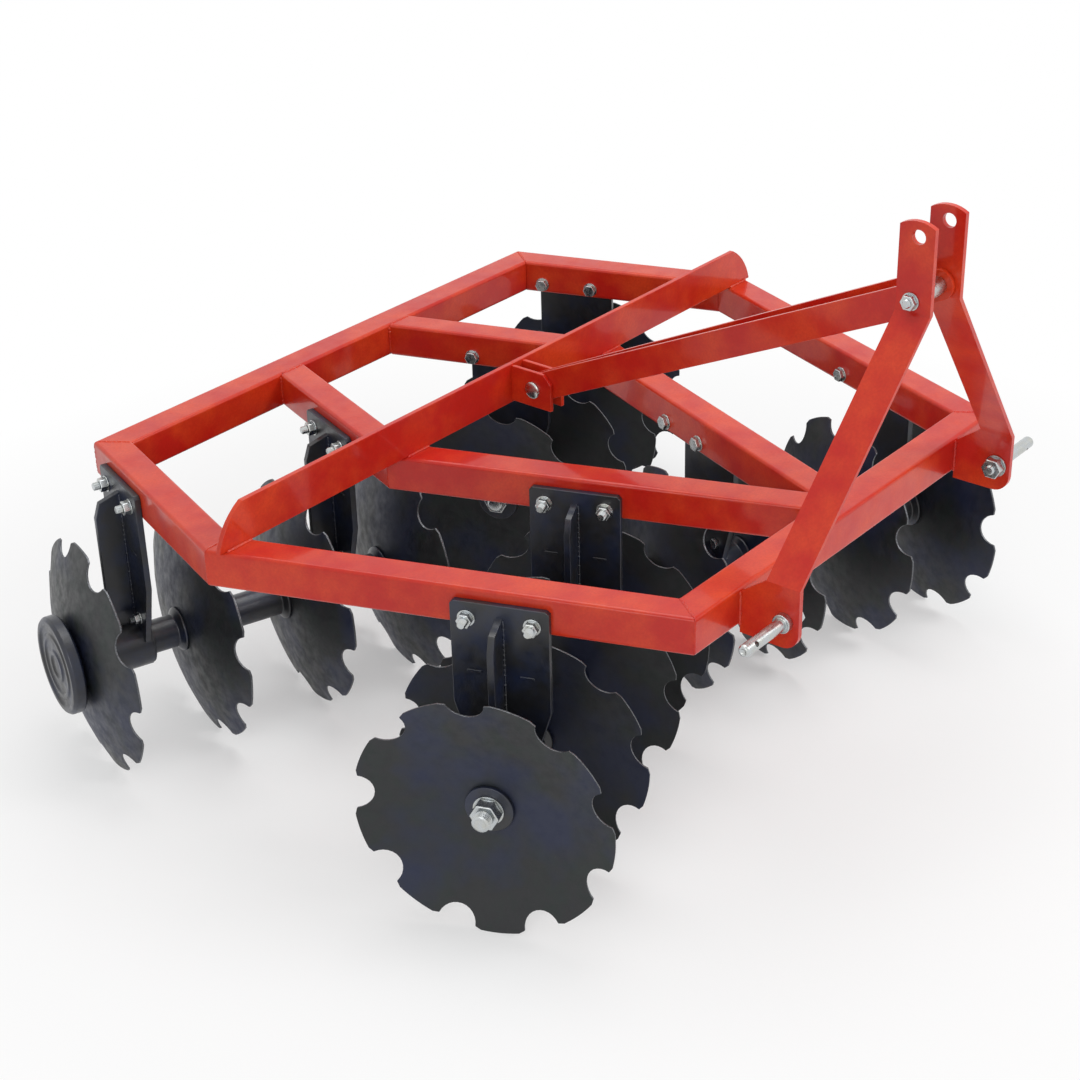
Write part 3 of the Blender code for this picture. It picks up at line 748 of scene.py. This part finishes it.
class HARROW_OT_hangers(bpy.types.Operator):
    """Black hangers with their bearing housings, bolts, nuts and weld beads"""
    bl_idname = "harrow.hangers"
    bl_label = "Hangers"

    def execute(self, context):
        for end in ENDS:
            for name in SIDES:
                origin, out = gang_place(end, name)
                outer = box_middle(f"hanger_{end}_{name}_outer")
                inner = box_middle(f"hanger_{end}_{name}_inner")
                back = abs((outer - inner).dot(out))
                for place, shift in (("outer", 0), ("inner", back)):
                    node = f"hanger_{end}_{name}_{place}"
                    add_piece(f"{node}_plate", refined(node, sizes().edge_round), FRAME_BODY,
                              "black_paint", node)
                    face = frame_at(origin - out * shift, out)
                    self.trim(node, face)
                    self.bolts(node, face, origin.z)
                    self.bearing(node, face, bearing_middle(end, name, origin, out))
        return {"FINISHED"}

    def bearing(self, node, face, middle):
        """Dust caps at both ends of the housing, and the two bolts that clamp it."""
        bm = bmesh.new()
        for end in (-1, 1):
            wall = middle + end * BEARING_HALF
            lip = wall + end * 0.0045
            ring = lathe(rounded([(wall, CAP_BORE), (wall, CAP_R), (wall + end * 0.0028, CAP_R),
                                  (lip, 0.0400), (lip, CAP_BORE), (wall, CAP_BORE)], 0.0008), 40)
            bmesh.ops.transform(ring, matrix=face, verts=ring.verts)
            join(bm, ring)
        add_piece(f"{node}_dust_caps", bm, FRAME_BODY, "black_paint")
        bm = bmesh.new()
        for y in (-0.031, 0.031):
            spot = face @ Matrix.Translation((0, y, 0.068))
            add_nut(bm, spot, HANGER_FACE, 0.0190, 0.010, 0.0060, 0.0078, CLAMP_WASHER)
            add_hexagon(bm, spot, -0.0080, 0.0002, 0.0190)
        add_piece(f"{node}_clamp_bolts", bm, FRAME_BODY, "zinc_plate")

    def trim(self, node, face):
        """The rib's weld beads and the pressed slots beside it."""
        bm = bmesh.new()
        leg = 0.003
        for y in (-0.0065, 0.0065):
            start, stop = face @ Vector((0.0125, y, 0.075)), face @ Vector((0.0125, y, 0.318))
            add_weld(bm, start, stop, leg)
        for y in (-0.046, 0.046):
            spot = face @ Matrix.Translation((0.0123, y, 0.215))
            made = bmesh.ops.create_cube(bm, size=1, matrix=spot @ Matrix.Diagonal(
                (0.003, 0.026, 0.0045, 1)))
            edges = list({e for v in made["verts"] for e in v.link_edges})
            bmesh.ops.bevel(bm, geom=edges, offset=0.0012, offset_type="OFFSET", segments=3,
                            profile=0.5, affect="EDGES", clamp_overlap=True, material=-1)
        add_piece(f"{node}_trim", bm, FRAME_BODY, "black_paint", angle=50)

    def bolts(self, node, face, axle_z):
        """Two bolts through plate and beam: washer, nut and thread outside, head inside."""
        s = sizes()
        beam = corners()[1]
        bm = bmesh.new()
        for y in (-s.bolt_spread / 2, s.bolt_spread / 2):
            spot = face @ Matrix.Translation((0, y, s.bolt_height - axle_z))
            add_nut(bm, spot, HANGER_FACE, s.nut_width, s.nut_height, s.bolt_radius, 0.011)
            add_nut(bm, turned_back(spot), beam, s.nut_width, 0.010)
        add_piece(f"{node}_bolts", bm, FRAME_BODY, "zinc_plate")


class HARROW_OT_discs(bpy.types.Operator):
    """Sixteen dished discs with half-round notches and a ground rim"""
    bl_idname = "harrow.discs"
    bl_label = "Discs"

    def execute(self, context):
        for end in ENDS:
            for name in SIDES:
                origin, out = gang_place(end, name)
                for number in range(1, 5):
                    self.disc(f"disc_{end}_{name}_{number}", end, name, origin, out)
        return {"FINISHED"}

    def disc(self, node, end, name, origin, out):
        s = sizes()
        hollow = out if end == "front" else -out
        place = frame_at(origin + out * hub_place(node, end, origin, out), hollow)
        inverse = place.inverted()
        turn = self.notch_turn(node, inverse)
        bm = self.blank()
        bmesh.ops.transform(bm, matrix=place @ Matrix.Rotation(turn, 4, "X"), verts=bm.verts)
        add_piece(f"{node}_plate", bm, f"gang_{end}_{name}", "disc_steel", node,
                  ("disc_steel", "ground_edge"), angle=28)

    def notch_turn(self, node, inverse):
        """How far a disc is turned, from the bottoms of its notches."""
        s = sizes()
        deep = s.disc_radius - s.notch_radius
        total = Vector((0, 0))
        for v in frame["nodes"][node].data.vertices:
            p = inverse @ v.co
            if abs(math.hypot(p.y, p.z) - deep) < 0.001:
                a = s.notches * math.atan2(p.z, p.y)
                total += Vector((math.cos(a), math.sin(a)))
        return math.atan2(total.y, total.x) / s.notches

    def blank(self):
        """A notched blank round the X axis, dished towards +X, a notch at angle 0 from +Y."""
        s = sizes()
        bm = bmesh.new()
        loops = [self.ring(bm, r, 72) for r in (0.0205, 0.034, s.hub_flat)]
        loops += [self.ring(bm, r, 108) for r in (0.075, 0.105, 0.135, 0.160, 0.180)]
        loops += [self.outline(bm, 0.983), self.outline(bm, 1)]
        for place, loop in enumerate(loops):
            for v in {v for e in loop for v in e.verts}:
                v.co.x = place * LOOP_GAP
        for inner, outer in zip(loops, loops[1:]):
            bmesh.ops.bridge_loops(bm, edges=inner + outer)
        for v in bm.verts:
            v.co.x = self.dish(math.hypot(v.co.y, v.co.z)) - s.disc_thickness / 2
        bmesh.ops.recalc_face_normals(bm, faces=bm.faces)
        skin = bm.faces[:]
        grown = bmesh.ops.extrude_face_region(bm, geom=skin, use_keep_orig=True)
        moved = [v for v in grown["geom"] if isinstance(v, bmesh.types.BMVert)]
        bmesh.ops.translate(bm, verts=moved, vec=(s.disc_thickness, 0, 0))
        bmesh.ops.recalc_face_normals(bm, faces=bm.faces)
        self.grind(bm)
        return bm

    def grind(self, bm):
        """Rounds the rim and gives its faces the ground finish."""
        s = sizes()
        hard = [e for e in bm.edges if len(e.link_faces) == 2
                and e.calc_face_angle(0) > math.radians(60)]
        bmesh.ops.bevel(bm, geom=hard, offset=0.0009, offset_type="OFFSET", segments=2,
                               profile=0.5, affect="EDGES", clamp_overlap=True, material=-1)
        for face in bm.faces:
            radius = max(math.hypot(v.co.y, v.co.z) for v in face.verts)
            flat = abs(face.normal.x)
            if radius > s.disc_radius - s.notch_radius - 0.001 and flat < 0.75:
                face.material_index = 1

    def dish(self, radius):
        s = sizes()
        ball = (s.disc_radius ** 2 + s.disc_dish ** 2) / (2 * s.disc_dish)
        flat = ball - math.sqrt(ball ** 2 - s.hub_flat ** 2)
        return max(ball - math.sqrt(ball ** 2 - radius ** 2) - flat, 0)

    def ring(self, bm, radius, count):
        verts = bmesh.ops.create_circle(bm, segments=count, radius=radius,
                                        matrix=along_x())["verts"]
        return list({e for v in verts for e in v.link_edges})

    def outline(self, bm, share):
        """The rim with its notches; a share under 1 draws it slightly further in."""
        s = sizes()
        pitch = math.tau / s.notches
        half = 2 * math.asin(s.notch_radius / 2 / s.disc_radius)
        inset = s.disc_radius * (1 - share)
        points = []
        for k in range(s.notches):
            for i in range(13):
                a = math.pi * (0.06 + 0.88 * i / 12)
                r = s.notch_radius + inset
                points.append((k * pitch, s.disc_radius - r * math.sin(a), -r * math.cos(a)))
            for i in range(1, 8):
                a = half + (pitch - 2 * half) * i / 8
                points.append((k * pitch + a, s.disc_radius - inset, 0))
        verts = []
        for turn, reach, across in points:
            y = reach * math.cos(turn) - across * math.sin(turn)
            z = reach * math.sin(turn) + across * math.cos(turn)
            if math.hypot(y, z) > s.disc_radius - inset:
                k = (s.disc_radius - inset) / math.hypot(y, z)
                y, z = y * k, z * k
            verts.append(bm.verts.new((0, y, z)))
        return [bm.edges.new((a, b)) for a, b in zip(verts, verts[1:] + verts[:1])]


class HARROW_OT_axles(bpy.types.Operator):
    """Gang axles with cast spools, washers, nuts and the rear gangs' round bumpers"""
    bl_idname = "harrow.axles"
    bl_label = "Axles"

    def execute(self, context):
        for end in ENDS:
            for name in SIDES:
                origin, out = gang_place(end, name)
                self.axle(end, name, origin, out)
        for name in SIDES:
            self.bumper(name)
        return {"FINISHED"}

    def axle(self, end, name, origin, out):
        node = f"gang_shaft_{end}_{name}"
        body = f"gang_{end}_{name}"
        seat = sizes().disc_thickness / 2 + 0.0002
        hubs = [hub_place(f"disc_{end}_{name}_{n}", end, origin, out) for n in (4, 3, 2, 1)]
        low, high = node_span(node, origin, out)
        inner = hubs[0] - seat
        cap = 0.054 if end == "front" else 0.044
        cap_t = 0.020 if end == "front" else 0.008
        profile = [(inner - cap_t, 0), (inner - cap_t, cap), (inner, cap), (inner, AXLE_R)]
        for hub, following in zip(hubs, hubs[1:]):
            a, b = hub + seat, following - seat
            profile += [(a, AXLE_R), (a, FLANGE_R), (a + 0.005, FLANGE_R), (a + 0.013, SPOOL_R),
                        (b - 0.013, SPOOL_R), (b - 0.005, FLANGE_R), (b, FLANGE_R), (b, AXLE_R)]
        last = hubs[-1] + seat
        place = frame_at(origin, out)
        if end == "front":
            profile += [(last, AXLE_R), (last, FLANGE_R), (last + 0.008, FLANGE_R),
                        (last + 0.008, 0)]
        else:
            profile += [(last, AXLE_R), (last + 0.019, AXLE_R), (last + 0.019, 0)]
        bm = lathe(rounded(profile, 0.0022), 48)
        bmesh.ops.transform(bm, matrix=place, verts=bm.verts)
        add_piece(f"{node}_turned", bm, body, "black_paint", node)
        self.nuts(end, name, place, inner - cap_t, low, last + 0.008, high)

    def nuts(self, end, name, place, inner, low, outer, high):
        """The nut on the gang's inner end, and in front the washer, nut and bolt end outside."""
        s = sizes()
        bm = bmesh.new()
        inward = turned_back(place)
        inner_top = 0.0135 - inner
        add_hexagon(bm, inward, -inner, inner_top, s.axle_nut_width * 0.98)
        add_thread(bm, inward, inner_top, -low - 0.002, 0.0155)
        if end == "front":
            nut_height = 0.023
            out = high - 0.002 - outer - GANG_WASHER[1] - nut_height
            add_nut(bm, place, outer, s.axle_nut_width, nut_height, 0.0158, out, GANG_WASHER)
            add_cylinder(bm, place, high - 0.003, high - TOUCH, 0.0105, 32)
        add_piece(f"gang_nuts_{end}_{name}", bm, f"gang_{end}_{name}", "zinc_plate")

    def bumper(self, name):
        """A cast bumper with concentric steps on its outer face."""
        node = f"end_bumper_{name}"
        origin, out = gang_place("rear", name)
        low, high = node_span(node, origin, out)
        radius = (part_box(node)[1][2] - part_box(node)[0][2]) / 2
        face = high - 0.004
        profile = [(low + 0.020, 0), (low + 0.020, 0.0202), (low, 0.0202), (low, 0.050),
                   (low + 0.006, radius - 0.006), (low + 0.010, radius), (high - 0.006, radius),
                   (high, radius - 0.005), (high, radius - 0.014), (face, radius - 0.018),
                   (face, radius - 0.030), (high - 0.001, radius - 0.033),
                   (high - 0.001, radius - 0.040), (face, radius - 0.043), (face, 0.034),
                   (high - 0.001, 0.031), (high - 0.001, 0.024), (face, 0.021), (face, 0)]
        bm = lathe(rounded(profile, 0.0018), 72)
        bmesh.ops.transform(bm, matrix=frame_at(origin, out), verts=bm.verts)
        add_piece(f"{node}_cast", bm, f"gang_rear_{name}", "black_paint", node)


# ---------------------------------------------------------------- stage

class HARROW_OT_stage(bpy.types.Operator):
    """Pale floor, soft studio light and the camera"""
    bl_idname = "harrow.stage"
    bl_label = "Stage"

    def execute(self, context):
        self.floor()
        self.world(context)
        self.lamps()
        self.camera(context)
        context.scene.view_settings.view_transform = "Standard"
        return {"FINISHED"}

    def floor(self):
        bm = bmesh.new()
        bmesh.ops.create_grid(bm, x_segments=1, y_segments=1, size=30)
        mesh = bpy.data.meshes.new("studio_floor")
        bm.to_mesh(mesh)
        bm.free()
        mesh.materials.append(floor_paper())
        floor = bpy.data.objects.new("studio_floor", mesh)
        bpy.context.scene.collection.objects.link(floor)

    def world(self, context):
        """A pale room: plain white to the camera, a softer light for the object."""
        world = bpy.data.worlds.new("studio")
        context.scene.world = world
        world.use_nodes = True
        tree = world.node_tree
        background = tree.nodes["Background"]
        strength = add_node(tree, "ShaderNodeMapRange", {
            "Value": seen_directly(tree), "To Min": WORLD_STRENGTH, "To Max": 1.0})
        set_inputs(tree, background, {"Color": (1, 1, 1, 1), "Strength": strength.outputs[0]})

    def lamps(self):
        for name, place, aim, size, power in LAMPS:
            lamp = bpy.data.lights.new(name, "AREA")
            lamp.shape = "RECTANGLE"
            lamp.size, lamp.size_y = size
            lamp.energy = power
            obj = bpy.data.objects.new(name, lamp)
            bpy.context.scene.collection.objects.link(obj)
            obj.location = place
            direction = Vector(aim) - Vector(place)
            obj.rotation_euler = direction.to_track_quat("-Z", "Y").to_euler()

    def camera(self, context):
        yaw, pitch, roll = (math.radians(a) for a in CAMERA_TURN)
        back = Vector((math.sin(yaw) * math.cos(pitch), -math.cos(yaw) * math.cos(pitch),
                       math.sin(pitch)))
        right = (-back).cross(Vector((0, 0, 1))).normalized()
        up = right.cross(-back)
        side = math.cos(roll) * right + math.sin(roll) * up
        top = -math.sin(roll) * right + math.cos(roll) * up
        bend_y = corners()[0]["bend"].y
        data = bpy.data.cameras.new("camera")
        data.sensor_width = 36
        data.lens = CAMERA_LENS_MM
        camera = bpy.data.objects.new("camera", data)
        context.scene.collection.objects.link(camera)
        turn = Matrix((side, top, back)).transposed().to_4x4()
        place = Vector(CAMERA_FROM_BEND) + Vector((0, bend_y, 0))
        camera.matrix_world = Matrix.Translation(place) @ turn
        context.scene.camera = camera


class HARROW_PT_panel(bpy.types.Panel):
    bl_label = "Disc harrow"
    bl_idname = "HARROW_PT_panel"
    bl_space_type = "VIEW_3D"
    bl_region_type = "UI"
    bl_category = "Harrow"

    def draw(self, context):
        for group in (context.scene.harrow_sizes, context.scene.harrow_colours):
            box = self.layout.box()
            for key in group.bl_rna.properties.keys():
                if key not in ("rna_type", "name"):
                    box.prop(group, key)
        for operator in OPERATORS:
            self.layout.operator(operator.bl_idname)


OPERATORS = (HARROW_OT_frame, HARROW_OT_hitch, HARROW_OT_hangers, HARROW_OT_discs,
             HARROW_OT_axles, HARROW_OT_stage)
CLASSES = (HarrowSizes, HarrowColours, *OPERATORS, HARROW_PT_panel)


def register():
    for cls in CLASSES:
        bpy.utils.register_class(cls)
    bpy.types.Scene.harrow_sizes = PointerProperty(type=HarrowSizes)
    bpy.types.Scene.harrow_colours = PointerProperty(type=HarrowColours)


def unregister():
    del bpy.types.Scene.harrow_colours
    del bpy.types.Scene.harrow_sizes
    for cls in reversed(CLASSES):
        bpy.utils.unregister_class(cls)


def main():
    register()
    bpy.ops.harrow.frame()
    bpy.ops.harrow.hitch()
    bpy.ops.harrow.hangers()
    bpy.ops.harrow.discs()
    bpy.ops.harrow.axles()
    bpy.ops.harrow.stage()


if __name__ == "__main__":
    main()
